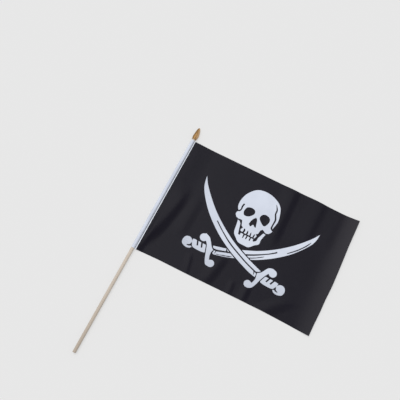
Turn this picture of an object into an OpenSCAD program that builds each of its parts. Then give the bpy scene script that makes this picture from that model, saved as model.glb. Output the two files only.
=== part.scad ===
// Hand flag: a printed cloth flag sewn round a wooden dowel with a gold spear tip, lying face up.
// The origin is the centre of the dowel's butt end. +Y runs along the dowel, +X to the fly, +Z up.

/* [Stick] */
// Diameter of the wooden dowel
stick_d = 8; // [6:0.5:10]
// Bare length of dowel below the flag, to hold it by
grip_l = 270; // [150:5:400]
// Chamfer round the butt end
butt_chamfer = 0.8; // [0.2:0.1:1.5]

/* [Spear tip] */
// Length of the tip
tip_l = 34; // [28:1:44]
// Depth of the socket that the dowel's end sits in
socket_l = 12; // [8:1:14]
// Wall of the socket
socket_wall = 0.85; // [0.6:0.05:1.2]
// Play between dowel and socket wall
socket_play = 0.05; // [0.05:0.05:0.2]
// How far the leaf swells beyond the socket on each side
tip_flare = 1.6; // [0.8:0.1:2.5]
// Distance of the widest section from the socket's mouth
belly_l = 9; // [6:0.5:12]
// Bare dowel between sleeve and tip
tip_gap = 3; // [1:0.5:8]

/* [Flag] */
// Height of the flag along the dowel
flag_h = 300; // [260:5:360]
// Width of the black field as it lies, from the white margin to the fly edge
field_w = 440.5; // [400:0.5:500]
// White margin between the seam and the black field
margin_w = 3; // [2.4:0.2:6]
// Thickness of the cloth
cloth_t = 0.2; // [0.15:0.05:0.3]
// Thickness of the ink on each face of the cloth
print_t = 0.05; // [0.04:0.01:0.08]

/* [Sleeve] */
// Room between dowel and sleeve
sleeve_room = 0.05; // [0.05:0.05:0.4]
// Room between the dowel's side and the seam
seam_room = 0.8; // [0.6:0.1:1.5]
// How far the seam lies below the dowel's axis
seam_drop = 2; // [1:0.25:2.5]
// How far the hem's cut edge under the margin stays short of the print
hem_back = 0.4; // [0.2:0.1:1]
// Air between the two layers at the seam
layer_gap = 0.03; // [0.02:0.01:0.06]
// Width of a line of stitching
thread_w = 0.35; // [0.25:0.05:0.45]
// Height of the thread on the cloth
thread_t = 0.15; // [0.1:0.05:0.2]
// Distance of the stitching from the sleeve
thread_inset = 0.6; // [0.5:0.1:1]

/* [Lay of the cloth] */
// Run over which the cloth comes down to the ground at the flag's foot
run_low = 18; // [12:2:40]
// Run over which it comes down at the flag's head
run_high = 58; // [40:2:80]
// Height of the lifted corner at the head of the fly
corner_lift = 4; // [0:0.5:8]
// Height of all the folds, as a share of the height listed below
fold_share = 1; // [0.5:0.1:1.5]

/* [Emblem] */
// Width across the two sabre tips
emblem_w = 305; // [220:5:340]
// How far the emblem sits hoistward of the middle of the black field
emblem_shift = 5.2; // [0:0.2:12]
// Black gap beside the sabre in front, where the other passes behind it
cross_gap = 2; // [1:0.25:3]
// How far the ink has crept into the white edges
ink_creep = 0.05; // [0.05:0.05:0.3]

/* [Hidden] */
stick_r = stick_d / 2;
flag_y0 = grip_l;
flag_y1 = grip_l + flag_h;
tip_y = flag_y1 + tip_gap;
stick_l = tip_y + socket_l;
bore_r = stick_r + socket_play;
socket_r = bore_r + socket_wall;
ground_z = -socket_r;
seam_x = stick_r + seam_room;
seam_z = -seam_drop;
hem_z = seam_z - cloth_t - layer_gap;
field_x0 = seam_x + margin_w;
lay_z = ground_z + print_t + cloth_t / 2;
// Facets: round the sleeve, across and along the field, round and along the tip
loop_n = 16;
fine_w = 90;
fine_n = 12;
coarse_n = ceil((field_w - fine_w) / 20);
rows = 13;
tip_sides = 36;
tip_rings = 18;
// Width at which the emblem's outlines are drawn
drawing_w = 305.7;
// Folds of the cloth, placed in hundredths of the field: x and y of the crest's start and end,
// then the crest's sideways bow, the half width and the height in millimetres
folds = [
    [1, 3, 8.6, 62, 1.5, 10, 3],
    [8.5, 18, 15.7, 58, 1, 12, 1.8],
    [62.4, 46, 62.4, 112, 1, 12, 2],
    [77.8, 72, 77.9, 112, 0, 12, 2],
    [89.6, 76, 89.8, 112, 0, 11, 1.8],
    [25.4, 16, 30.5, -4, 0, 7, 1.4],
    [40, 12, 41.3, -4, 0, 6, 1.3],
    [52.4, 11, 54, -3, 0, 6, 1],
    [60.4, 12, 61.2, -4, 0, 7, 1.4],
    [76.5, 16, 78.5, -4, 0, 12, 1.4]
];
wood = [0.77, 0.72, 0.67];
gold = [0.69, 0.53, 0.31];
white_cloth = [0.86, 0.87, 0.91];
black_ink = [0.17, 0.16, 0.18];

// Curves
function ease(s) = let (u = max(0, min(1, s))) u * u * (3 - 2 * u);
function between(a, b, c, d, t) =
    0.5 * (2 * b + (c - a) * t + (2 * a - 5 * b + 4 * c - d) * t * t + (3 * b - a - 3 * c + d) * t * t * t);
// A smooth curve through points, open or closed, with n steps from each point to the next
function curve(p, n = 2) = let (m = len(p) - 1) concat(
    [for (k = [0:m - 1], s = [0:n - 1]) between(p[max(k - 1, 0)], p[k], p[k + 1], p[min(k + 2, m)], s / n)],
    [p[m]]);
function ring(p, n = 2) = let (m = len(p))
    [for (k = [0:m - 1], s = [0:n - 1]) between(p[(k + m - 1) % m], p[k], p[(k + 1) % m], p[(k + 2) % m], s / n)];
function backwards(p) = [for (k = [len(p) - 1:-1:0]) p[k]];
// The side of a line drawn through [x, y, width] points, on the left for side = 1
function flank(p, side) = [for (k = [0:len(p) - 1])
    let (d = p[min(k + 1, len(p) - 1)] - p[max(k - 1, 0)], l = norm([d.x, d.y]))
    [p[k].x - side * d.y / l * p[k].z / 2, p[k].y + side * d.x / l * p[k].z / 2]];

module line(p, n = 2) {
    q = curve(p, n);
    polygon(concat(flank(q, 1), backwards(flank(q, -1))));
}

// Lay of the cloth: height of its middle layer at a place in the field
function along(f, v) = (v - f[1]) / (f[3] - f[1]);
function crest_x(f, s) = (f[0] + (f[2] - f[0]) * s) * field_w / 100 + f[4] * 4 * s * (1 - s);
function fold(f, x, y) =
    let (s = along(f, 100 * y / flag_h), d = (x - crest_x(f, s)) / f[5])
    fold_share * f[6] * exp(-d * d) * ease(s / 0.2) * ease((1 - s) / 0.2);
function folds_z(x, y) = let (z = [for (f = folds) fold(f, x, y)]) z * [for (f = folds) 1];
function drop_run(y) = run_low + (run_high - run_low) * ease(1.5 * y / flag_h);
function fly_z(x, y) = corner_lift * ease((x / field_w - 0.92) / 0.08) * (0.3 + 0.7 * ease(y / flag_h));
function cloth_z(x, y) =
    lay_z + (seam_z - lay_z) * (1 - ease(x / drop_run(y))) + ease(x / 12) * (folds_z(x, y) + fly_z(x, y));

// Cross-section of the cloth at a height y of the flag: hem, loop round the dowel, seam, margin, field
loop_r = (stick_r + sleeve_room) / cos(150 / loop_n) + cloth_t / 2;
function bearing(x, z) = atan2(z, x);
function wrap_angle(x, z) = acos(loop_r / norm([x, z]));
loop_a0 = bearing(seam_x, hem_z) - wrap_angle(seam_x, hem_z);
loop_a1 = bearing(seam_x, seam_z) + wrap_angle(seam_x, seam_z) - 360;
loop_points = [for (k = [0:loop_n]) let (a = loop_a0 + (loop_a1 - loop_a0) * k / loop_n)
    [loop_r * cos(a), loop_r * sin(a)]];
sleeve_points = concat([[field_x0 - hem_back, hem_z], [seam_x, hem_z]], loop_points, [[seam_x, seam_z]]);
columns = concat(
    [for (k = [0:fine_n - 1]) fine_w * k / fine_n],
    [for (k = [0:coarse_n]) fine_w + (field_w - fine_w) * k / coarse_n]);
function profile(y) = concat(sleeve_points, [for (x = columns) [field_x0 + x, cloth_z(x, y)]]);
function unit(v) = v / norm(v);
// A point of the section, moved off the middle layer by d, to the outer face where d is positive
function lifted(p, k, d) =
    let (
        ahead = unit(p[min(k + 1, len(p) - 1)] - p[min(k, len(p) - 2)]),
        behind = unit(p[max(k, 1)] - p[max(k - 1, 0)]),
        n = unit([-ahead.y - behind.y, ahead.x + behind.x])
    )
    p[k] + n * d / (n * [-ahead.y, ahead.x]);
profiles = [for (j = [0:rows]) profile(flag_h * j / rows)];
hem_k = 0;
field_k = len(sleeve_points);
last_k = len(profiles[0]) - 1;

// One layer of the cloth between two distances from its middle, from section point k0 to the fly
module layer(k0, d0, d1) {
    n = last_k - k0 + 1;
    m = rows + 1;
    points = [for (d = [d0, d1], k = [k0:last_k], j = [0:rows])
        let (q = lifted(profiles[j], k, d)) [q.x, flag_y0 + flag_h * j / rows, q.y]];
    under = [for (i = [0:n - 1]) [for (j = [0:rows]) i * m + j]];
    over = [for (i = [0:n - 1]) [for (j = [0:rows]) n * m + i * m + j]];
    cells = [for (i = [0:n - 2], j = [0:rows - 1]) [i, j]];
    polyhedron(points, concat(
        [for (c = cells) let (i = c.x, j = c.y) [over[i][j], over[i][j + 1], over[i + 1][j + 1]]],
        [for (c = cells) let (i = c.x, j = c.y) [over[i][j], over[i + 1][j + 1], over[i + 1][j]]],
        [for (c = cells) let (i = c.x, j = c.y) [under[i][j], under[i + 1][j + 1], under[i][j + 1]]],
        [for (c = cells) let (i = c.x, j = c.y) [under[i][j], under[i + 1][j], under[i + 1][j + 1]]],
        [for (j = [0:rows - 1]) [over[0][j], under[0][j], under[0][j + 1], over[0][j + 1]]],
        [for (j = [0:rows - 1]) [over[n - 1][j], over[n - 1][j + 1], under[n - 1][j + 1], under[n - 1][j]]],
        [for (i = [0:n - 2]) [over[i][0], over[i + 1][0], under[i + 1][0], under[i][0]]],
        [for (i = [0:n - 2]) [over[i][rows], under[i][rows], under[i + 1][rows], over[i + 1][rows]]]
    ), convexity = 10);
}

// Emblem: a skull over two crossed sabres, drawn about its own centre
cranium = [[-46.8, 43.2], [-52.3, 53.3], [-52.3, 69.2], [-46.8, 88.3], [-31, 106.7], [-11, 114.3],
    [9.8, 112.9], [31.5, 103.3], [43.6, 90], [49.4, 72.5], [50.3, 56.7], [46.4, 38.5]];
right_cheek = [[46.4, 33.2], [48.2, 30.2], [43.2, 22.1], [36.9, 19.3]];
jaw = [[36.4, 17], [34.4, 1.7], [33.2, -10], [24.8, -19.2], [14.8, -28.8], [1, -30.8], [-11.8, -29.6],
    [-23.9, -21.7], [-32.6, -9], [-35.6, 9.2], [-38.1, 20.8]];
left_cheek = [[-40.2, 23.3], [-44.2, 25], [-48.7, 33], [-45.5, 40.6]];
left_eye = [[-27.7, 59.6], [-19.3, 61.9], [-10.6, 58.6], [-9.3, 50.8], [-18.5, 39.3], [-27.3, 37.9],
    [-32.7, 45], [-31.6, 54.8]];
right_eye = [[19, 61.3], [27.3, 58.9], [31, 50], [29.6, 41], [24, 35.2], [16.4, 39.3], [9, 48.3], [9.6, 56.8]];
nose = [[-0.6, 43.8], [-4.3, 38.3], [-6.8, 31.7], [-8.8, 24], [-7, 20.4], [-4.2, 20.8], [-1.8, 24.2],
    [0.7, 25.8], [2.8, 24.6], [5.5, 21.8], [8.4, 22.6], [7.3, 26.7], [4, 38.3], [1.5, 42.9]];
left_hollow = [[-40.5, 22.9], [-31.8, 24.2], [-27.7, 22.5], [-22.7, 11.7], [-18.9, 8.8], [-21, 3.3],
    [-20.2, -1.7], [-17.7, -3.3], [-17.7, -10.8], [-20.2, -10], [-23.9, 1.7], [-28.5, 15], [-31.8, 20],
    [-38.6, 21.3]];
right_hollow = [[26.1, 24.6], [30.9, 20.2], [29, 15], [26.5, 9.2], [24.8, 1.7], [23.2, -5], [21.1, -8.3],
    [17.8, -9.6], [16.5, -7.5], [20.3, -0.8], [20.3, 5.8], [17.3, 7.9], [19.8, 10], [23.2, 22.1]];
right_crack = [[30, 95.5, 0.6], [36.5, 84, 2.4], [37.2, 73.5, 3], [42.8, 60, 3], [42.6, 46, 3],
    [43.4, 37.5, 3], [50, 33.2, 3.4]];
left_crack = [[-40.2, 62.1, 1.4], [-41.6, 55, 2.4], [-41.4, 48, 2.4], [-44.2, 43, 2.4], [-51, 41, 2.4]];
cheek_slit = [[29.5, 19.7, 1.4], [39, 18.2, 1]];
mouth = [[-20.5, -2.9, 1.8], [-9.3, -4.2, 1.8], [0.7, -4.6, 1.8], [9, -4.3, 1.8], [18.5, -4, 1.8]];
upper_teeth = [
    [[-13.1, 8.5, 0.8], [-11.4, 3.5, 2], [-12.9, -3.5, 2]],
    [[-4.3, 6.8, 0.8], [-2.5, 2.2, 2], [-4.1, -4, 2]],
    [[4.8, 6, 0.8], [5.3, 1.5, 2], [4.8, -4.4, 2]],
    [[14, 5.6, 0.8], [14.3, 2, 1.9], [13.2, -4, 2]]
];
lower_teeth = [
    [[-8.9, -4.5, 1.8], [-9, -14.6, 0.7]],
    [[-0.6, -4.5, 1.8], [-0.6, -13.6, 0.7]],
    [[8.6, -4.4, 1.8], [8.7, -13.6, 0.7]]
];

module skull() {
    difference() {
        polygon(concat(curve(cranium), curve(right_cheek), curve(jaw), curve(left_cheek)));
        polygon(ring(left_eye));
        polygon(ring(right_eye));
        polygon(nose);
        polygon(left_hollow);
        polygon(right_hollow);
        line(right_crack);
        line(left_crack);
        line(cheek_slit, 1);
        line(mouth, 1);
        for (gap = upper_teeth) line(gap);
        for (gap = lower_teeth) line(gap, 1);
    }
}

// Sabre in front, with its point at the upper left
front_back = [[-150.9, 85.2], [-137.4, 66.3], [-116, 40.6], [-87.4, 13.4], [-53.1, -12.3], [-18.9, -33],
    [21.1, -49.4], [60.5, -62.5]];
front_heel = [[64.2, -66.8], [60, -70.5], [55.6, -72.3], [57.9, -79.7]];
front_edge = [[56.9, -85.6], [35.4, -80.9], [-6, -65.1], [-38.9, -48.7], [-67.4, -29.4], [-100.3, -1.6],
    [-127.4, 29.1], [-144.6, 55.6], [-152.6, 82.7]];
front_groove = [[-79.6, -4, 0.5], [-56, -20.1, 1.4], [-27.4, -40.1, 2], [8.3, -58, 2], [29.7, -65.9, 2],
    [58, -74.2, 2]];
// Sabre behind, with its point at the upper right
rear_back = [[152.2, 76.3], [140, 58.7], [120, 36], [100, 17.3], [70, -4.7], [40, -22.7], [13.3, -36],
    [-15, -49], [-30.5, -54.9], [-60, -62]];
rear_heel = [[-58.8, -65.3], [-54.7, -70.3], [-55.5, -80.3]];
rear_edge = [[-50.5, -82.4], [-33.8, -78.7], [-5, -68], [31.3, -53.3], [53.3, -42], [80, -24.7], [108, -2],
    [129.3, 19.3], [146, 43.3], [152.2, 60], [153.5, 73.8]];
rear_groove = [[80.7, -7.6, 0.5], [60, -23.3, 1.4], [32, -38.7, 1.8], [5, -51.5, 1.8], [-26.3, -62, 2],
    [-50.5, -69.2, 2], [-61, -69.5, 2]];
rear_line = [[140, 43.3, 0.4], [125.3, 24, 1.2], [106.7, 5.3, 0.4]];
rear_shadow = [[-30.2, -54], [-29.6, -61.3], [-20.5, -61.8], [-17, -59.5]];

module front_outline() {
    polygon(concat(curve(front_back), front_heel, curve(front_edge)));
}

module front_sabre() {
    difference() {
        front_outline();
        line(front_groove);
    }
}

module rear_sabre() {
    difference() {
        polygon(concat(curve(rear_back), rear_heel, curve(rear_edge)));
        offset(delta = cross_gap) front_outline();
        line(rear_groove);
        line(rear_line);
        polygon(rear_shadow);
    }
}

// Guards: an S with a round curl at each end, of the sabre behind at the left and of the front one at the right
left_upper = [-89.3, -54.1];
left_lower = [-48.6, -103];
left_front = [[-89.3, -43.3], [-82.5, -44], [-76.3, -47.8], [-63, -66.2], [-56.8, -72]];
left_foot = [[-58.4, -79.5], [-57.6, -89], [-53.4, -98.3]];
left_back = [[-50, -112.5], [-58, -110.3], [-66.3, -98.7], [-70.9, -80.3], [-76.3, -67], [-82.2, -61.2]];
right_upper = [91, -59];
right_lower = [50.5, -106.2];
right_front = [[91, -48.2], [84.5, -48], [77.5, -52.3], [66.3, -68.5], [59.5, -75]];
right_foot = [[60.6, -80], [60.3, -88], [54.8, -99]];
right_back = [[51, -115.9], [61, -111.3], [66.8, -102], [70.4, -89.7], [76.5, -74], [84.6, -64.2]];
upper_curl_r = 10.8;
lower_curl_r = 9.8;
guard_clear = 1.6;
curl_sides = 16;

module guard(upper, lower, front, foot, back) {
    translate(upper) circle(r = upper_curl_r, $fn = curl_sides);
    translate(lower) circle(r = lower_curl_r, $fn = curl_sides);
    polygon(concat(curve(front), curve(foot), [lower], curve(back), [upper]));
}

module left_guard() {
    guard(left_upper, left_lower, left_front, left_foot, left_back);
}

module right_guard() {
    guard(right_upper, right_lower, right_front, right_foot, right_back);
}

// Handle of the left sabre: a notched grip and a round pommel with a cut rim
pommel = [-120.9, -78.7];
pommel_r = 10.8;
grip = [[-110.5, -69.8], [-106.3, -67.8], [-78, -68.4], [-73.8, -73.7], [-73, -79.5], [-71.3, -83.7],
    [-73, -86.2], [-80.5, -88.7], [-92.2, -89.1], [-100.5, -88.3], [-104.7, -84.5], [-110.8, -76]];
grip_notches = [
    [[-99.3, -66, 3], [-97, -73, 2.4], [-93.2, -80, 1.5]],
    [[-87.7, -66, 3.4], [-85.3, -73.5, 2.8], [-82.8, -80, 1.5]]
];
pommel_rim = [[-131.7, -78.7], [-129.8, -87.5], [-125, -93], [-116.3, -95.3], [-107, -92.8], [-103.8, -88.7]];
pommel_cut = [[-108.6, -79.8, 2.4], [-109.2, -84, 2.6], [-112.5, -86.3, 2], [-117, -88.1, 0.4]];
// The right handle is its mirror image, turned a little and moved so that this point of it comes here
handle_from = [-48.6, -103];
handle_to = [50.3, -106];
handle_turn = -2.4;

module handle() {
    difference() {
        polygon(grip);
        for (notch = grip_notches) line(notch, 1);
    }
    difference() {
        union() {
            translate(pommel) circle(r = pommel_r, $fn = curl_sides);
            polygon(concat(curve(pommel_rim), [[-107.2, -86.6], pommel]));
        }
        line(pommel_cut);
    }
}

module left_hilt() {
    left_guard();
    difference() {
        handle();
        offset(delta = guard_clear) left_guard();
    }
}

module right_hilt() {
    right_guard();
    difference() {
        translate(handle_to) rotate(handle_turn) mirror([1, 0]) translate(-handle_from) handle();
        offset(delta = guard_clear) right_guard();
    }
}

module emblem() {
    offset(delta = -ink_creep) {
        skull();
        front_sabre();
        rear_sabre();
        left_hilt();
        right_hilt();
    }
}

module placed_emblem() {
    place = [field_x0 + field_w / 2 - emblem_shift, flag_y0 + flag_h / 2, ground_z - 1];
    translate(place) linear_extrude(-2 * ground_z + 2) scale(emblem_w / drawing_w) emblem();
}

// Spear tip: half width, half thickness and squareness of its section at a distance s from its mouth
belly_r = socket_r + tip_flare;
function swell(s) = socket_r + tip_flare * ease((s - 1) / (belly_l - 1));
function taper(s, s0, p, q) = let (v = max(0, (s - s0) / (tip_l - s0))) pow(max(0, 1 - pow(v, p)), q);
function half_w(s) = swell(s) * taper(s, belly_l, 1.7, 0.65);
function half_t(s) = socket_r * taper(s, socket_l, 1.5, 0.75);
function roundness(s) = 2 - 0.5 * ease((s - socket_l) / (tip_l - socket_l));
function power(v, e) = sign(v) * pow(abs(v), e);
// The rings close up towards the point
function ring_s(k) = tip_l * sin(90 * k / tip_rings);

module tip_body() {
    last = tip_rings - 1;
    rings = [for (k = [0:last], a = [0:tip_sides - 1])
        let (s = ring_s(k), e = 2 / roundness(s), t = 360 * a / tip_sides)
        [half_w(s) * power(cos(t), e), s, half_t(s) * power(sin(t), e)]];
    apex = [0, tip_l, 0];
    sides = [for (k = [0:last - 1], a = [0:tip_sides - 1])
        let (b = (a + 1) % tip_sides, i = k * tip_sides, j = i + tip_sides) [i + a, i + b, j + b, j + a]];
    polyhedron(concat(rings, [apex]), concat(
        [for (f = sides) [f[0], f[1], f[2]]],
        [for (f = sides) [f[0], f[2], f[3]]],
        [for (a = [0:tip_sides - 1])
            [last * tip_sides + a, last * tip_sides + (a + 1) % tip_sides, len(rings)]],
        [[for (a = [tip_sides - 1:-1:0]) a]]
    ), convexity = 4);
}

module stick() {
    color(wood) rotate([-90, 0, 0]) rotate_extrude($fn = 64) polygon([
        [0, 0], [stick_r - butt_chamfer, 0], [stick_r, butt_chamfer], [stick_r, stick_l], [0, stick_l]
    ]);
}

module spear_tip() {
    color(gold) translate([0, tip_y, 0]) difference() {
        tip_body();
        translate([0, -1, 0]) rotate([-90, 0, 0]) cylinder(r = bore_r, h = socket_l + 1, $fn = 64);
    }
}

module flag_cloth() {
    color(white_cloth) layer(hem_k, -cloth_t / 2, cloth_t / 2);
}

module face_print() {
    color(black_ink) difference() {
        layer(field_k, cloth_t / 2, cloth_t / 2 + print_t);
        placed_emblem();
    }
}

module back_print() {
    color(black_ink) difference() {
        layer(field_k, -cloth_t / 2 - print_t, -cloth_t / 2);
        placed_emblem();
    }
}

// The upper thread lies on the margin and the lower thread under the hem
module seam_thread() {
    size = [thread_w, flag_h, thread_t];
    color(white_cloth) {
        translate([seam_x + thread_inset, flag_y0, seam_z + cloth_t / 2]) cube(size);
        translate([seam_x + thread_inset, flag_y0, hem_z - cloth_t / 2 - thread_t]) cube(size);
    }
}

stick();
spear_tip();
flag_cloth();
face_print();
back_print();
seam_thread();
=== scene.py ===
import math

import bpy
import numpy as np
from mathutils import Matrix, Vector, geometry, kdtree


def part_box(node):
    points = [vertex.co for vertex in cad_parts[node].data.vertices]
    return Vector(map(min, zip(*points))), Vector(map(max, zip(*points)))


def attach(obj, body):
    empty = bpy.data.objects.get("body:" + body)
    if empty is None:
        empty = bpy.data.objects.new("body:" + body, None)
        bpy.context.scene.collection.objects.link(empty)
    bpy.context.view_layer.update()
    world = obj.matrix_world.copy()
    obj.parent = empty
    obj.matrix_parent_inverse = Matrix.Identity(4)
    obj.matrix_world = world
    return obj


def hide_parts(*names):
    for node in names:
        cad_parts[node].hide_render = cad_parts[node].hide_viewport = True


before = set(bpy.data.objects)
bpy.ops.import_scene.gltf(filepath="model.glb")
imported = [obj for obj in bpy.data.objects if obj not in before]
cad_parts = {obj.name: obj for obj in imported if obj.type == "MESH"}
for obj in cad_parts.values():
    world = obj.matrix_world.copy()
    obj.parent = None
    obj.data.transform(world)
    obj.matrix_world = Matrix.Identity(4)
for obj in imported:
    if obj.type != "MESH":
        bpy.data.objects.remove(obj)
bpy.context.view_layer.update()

# Lengths below are in millimetres, as in the part's drawings, and MM turns them into metres
MM = 0.001


def box_mm(node):
    low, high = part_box(node)
    return np.array(low) / MM, np.array(high) / MM


# Sizes taken from the frame
stick_low, stick_high = box_mm("stick")
tip_low, tip_high = box_mm("spear_tip")
cloth_low, cloth_high = box_mm("flag_cloth")
back_low = box_mm("back_print")[0]
STICK_R = (stick_high[0] - stick_low[0]) / 2
STICK_L = stick_high[1]
FLAG_Y0 = cloth_low[1]
FLAG_H = cloth_high[1] - cloth_low[1]
GROUND_Z = back_low[2]
TIP_Y = tip_low[1]
TIP_L = tip_high[1] - tip_low[1]
SOCKET_R = tip_high[2]
BELLY_R = tip_high[0]

# Sizes of the sewn flag
CLOTH_T = 0.2
PRINT_T = 0.05
LAYER_GAP = 0.03
# The sleeve's room round the dowel, and how much wider than that it is on the seam's side
SLEEVE_ROOM = 0.05
SLEEVE_LOOSE = 1.04
SEAM_ROOM = 1.3
SEAM_X = STICK_R + SEAM_ROOM
SEAM_Z = -1.3
MARGIN_W = 2.5
FIELD_X0 = SEAM_X + MARGIN_W
FIELD_W = 440.5
HEM_BACK = 0.4
HEM_X = FIELD_X0 - HEM_BACK
HEM_Z = SEAM_Z - CLOTH_T - LAYER_GAP
LAY_Z = GROUND_Z + PRINT_T + CLOTH_T / 2

# Sizes of the dowel and the tip
BUTT_CHAMFER = 0.8
# The share of the chamfer's length at which it has half its depth, which rounds the butt's edge
BUTT_MIDDLE = 0.35
SOCKET_L = 12.0
SOCKET_PLAY = 0.05
BORE_R = STICK_R + SOCKET_PLAY
BELLY_L = 9.0
BELLY_MORE = 0.5
TIP_FLARE = BELLY_R + BELLY_MORE - SOCKET_R
# The flare toward the belly would start this far before the socket's mouth
FLARE_LEAD = 3.0
# The tip's lean follows a sine: how far it goes aside, the sine's angle at the mouth, its turn to the point
TIP_LEAN = 1.1
LEAN_START = 0.45
LEAN_TURN = 3.3
# Powers that shape how the tip's half width and half thickness run out to its point
WIDTH_TAPER = (1.45, 0.5)
THICKNESS_TAPER = (1.5, 0.75)
# How far the power of the tip's section falls below a round one's 2, which gives it edges at its sides
TIP_SHARPNESS = 0.5

# The dowel lies a little askew to the flag: its slope, and where along Y it crosses the frame's middle
SKEW = 0.0017
SKEW_FROM = 130.0

# Stitching along the sleeve
STITCH_X = SEAM_X + 0.4
STITCH_PITCH = 3.2
STITCH_L = 2.5
STITCH_SWAY = math.radians(3)
# A stitch's crest and how far its ends dip, in thread radii, and how much thinner its ends are
STITCH_CREST = 0.9
STITCH_DIP = 2.0
STITCH_THINNING = 0.25
THREAD_R = 0.17
END_STITCH = 2.0
UPPER_SEED = 3
LOWER_SEED = 8

# Fineness of the meshes
FIELD_COLUMNS = 176
FIELD_ROWS = 120
LOOP_STEPS = 30
OUTLINE_STEPS = 5
OUTLINE_SAMPLES = 6
CLEAR_OF_OUTLINE = 0.9
SLOPE_STEP = 0.05
SAME_POINT = 1e-5
ON_EDGE = 1e-4
TINY_AREA = 1e-9
DOWEL_SIDES = 64
DOWEL_RINGS = 118
TIP_SIDES = 96
TIP_RINGS = 72
STITCH_SIDES = 6
STITCH_RINGS = 7


# Curves
def ease(s):
    u = np.clip(s, 0.0, 1.0)
    return u * u * (3.0 - 2.0 * u)


def between(a, b, c, d, t):
    """The point at share t of a smooth curve's run from b to c, between a before and d after."""
    return 0.5 * (2 * b + (c - a) * t + (2 * a - 5 * b + 4 * c - d) * t**2 + (3 * b - a - 3 * c + d) * t**3)


def curve(points, steps=OUTLINE_STEPS):
    """A smooth curve through points, with its ends."""
    p = np.array(points, float)
    last = len(p) - 1
    out = [
        between(p[max(k - 1, 0)], p[k], p[k + 1], p[min(k + 2, last)], s / steps)
        for k in range(last)
        for s in range(steps)
    ]
    return np.array(out + [p[last]])


def ring(points, steps=OUTLINE_STEPS):
    """A smooth closed curve through points."""
    p = np.array(points, float)
    n = len(p)
    return np.array([
        between(p[k - 1], p[k], p[(k + 1) % n], p[(k + 2) % n], s / steps)
        for k in range(n)
        for s in range(steps)
    ])


def ribbon(points, steps=OUTLINE_STEPS):
    """The outline of a line drawn through [x, y, width] points."""
    p = curve(points, steps)
    ahead = np.gradient(p[:, :2], axis=0)
    side = np.stack([-ahead[:, 1], ahead[:, 0]], 1) / np.linalg.norm(ahead, axis=1)[:, None]
    half = p[:, 2:3] / 2
    return np.concatenate([p[:, :2] + side * half, (p[:, :2] - side * half)[::-1]])


def disc(centre, radius, sides=40):
    turn = np.linspace(0, 2 * math.pi, sides, endpoint=False)
    return np.array(centre) + radius * np.stack([np.cos(turn), np.sin(turn)], 1)


def askew(y):
    """How far the dowel's own middle lies to the side of the frame's Y axis."""
    return SKEW * (np.asarray(y, float) - SKEW_FROM)


def grown(loop, distance, most=2):
    """A closed outline moved outwards by a distance, and by no more than most times it at a corner."""
    before = loop - np.roll(loop, 1, 0)
    after = np.roll(loop, -1, 0) - loop
    before /= np.linalg.norm(before, axis=1)[:, None]
    after /= np.linalg.norm(after, axis=1)[:, None]
    out = np.stack([before[:, 1] + after[:, 1], -before[:, 0] - after[:, 0]], 1)
    length = np.linalg.norm(out, axis=1)[:, None]
    x, y = loop.T
    turning = np.sign(np.sum(x * np.roll(y, -1) - y * np.roll(x, -1)))
    return loop + turning * distance * out / length * np.minimum(2 / length, most)


def inside(loop, points):
    """Which points lie inside a closed outline."""
    x, y = points.T
    found = np.zeros(len(points), bool)
    for (x0, y0), (x1, y1) in zip(loop, np.roll(loop, -1, 0)):
        if y0 != y1:
            found ^= ((y0 > y) != (y1 > y)) & (x < x0 + (y - y0) * (x1 - x0) / (y1 - y0))
    return found


# Emblem: outlines drawn about its own centre, as in the part's drawings
DRAWING_W = 305.7
EMBLEM_W = 305.0
EMBLEM_SHIFT = 5.2
CROSS_GAP = 2.7
GUARD_CLEAR = 2.2
CRANIUM = [(-45.2, 43.1), (-50.3, 52.4), (-50.6, 68.8), (-44, 88.9), (-28.8, 107), (-10.5, 113.8),
           (12.2, 112.4), (32.4, 103.3), (43.4, 91.5), (49.8, 72.3), (51.7, 56.9), (48, 38.7)]
RIGHT_CHEEK = [(47.6, 32.3), (49.6, 30.5), (44.5, 22.3), (38, 20)]
JAW = [(38.4, 16.5), (34.6, 1.3), (34.2, -11.2), (25.6, -18.3), (15.6, -28.7), (3.4, -29.9), (-11.3, -28.8),
       (-21.2, -21.3), (-30.4, -11.1), (-33.7, 8.9), (-35.8, 20.8)]
LEFT_CHEEK = [(-37.7, 24.7), (-42.1, 25.6), (-47.1, 33), (-44.6, 41)]
LEFT_EYE = [(-26.4, 59.9), (-17.1, 62.3), (-8.4, 59), (-6.9, 50.3), (-15.8, 39.9), (-26.7, 37.6),
            (-31.9, 44.7), (-30.6, 54.9)]
RIGHT_EYE = [(20.2, 61.7), (30, 58.4), (33.8, 51.3), (31.6, 40.3), (26.1, 34.2), (17.3, 38.6), (9.2, 47.4),
             (11, 57.4)]
NOSE = [(0.6, 44.7), (-3.7, 39.1), (-6.9, 31.7), (-8.3, 23.3), (-4.3, 19.7), (-1.7, 19.2), (0.2, 24),
        (2.5, 26.2), (4.4, 24.2), (7.6, 21.7), (10.5, 22), (9.3, 26.5), (6.5, 38.5), (3.8, 43.5)]
LEFT_HOLLOW = [(-38.9, 23.1), (-29.4, 24.8), (-25.7, 23.6), (-21.6, 11.7), (-16.5, 8.3), (-19.7, 2.8),
               (-18.1, -2.1), (-15.1, -3.7), (-15.8, -11.5), (-20.2, -10.7), (-23.2, 0.9), (-26.3, 14.6),
               (-30.3, 19.5), (-36.9, 21.4)]
RIGHT_HOLLOW = [(27.7, 25.4), (34.4, 21.4), (31.3, 14.5), (29.1, 8.9), (26.2, 1.6), (25.7, -5.8),
                (23.3, -8.7), (19.1, -11.7), (16.9, -8), (20, -0.4), (21.4, 4), (17.3, 8.1), (21.8, 10.7),
                (23.6, 21.5)]
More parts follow.
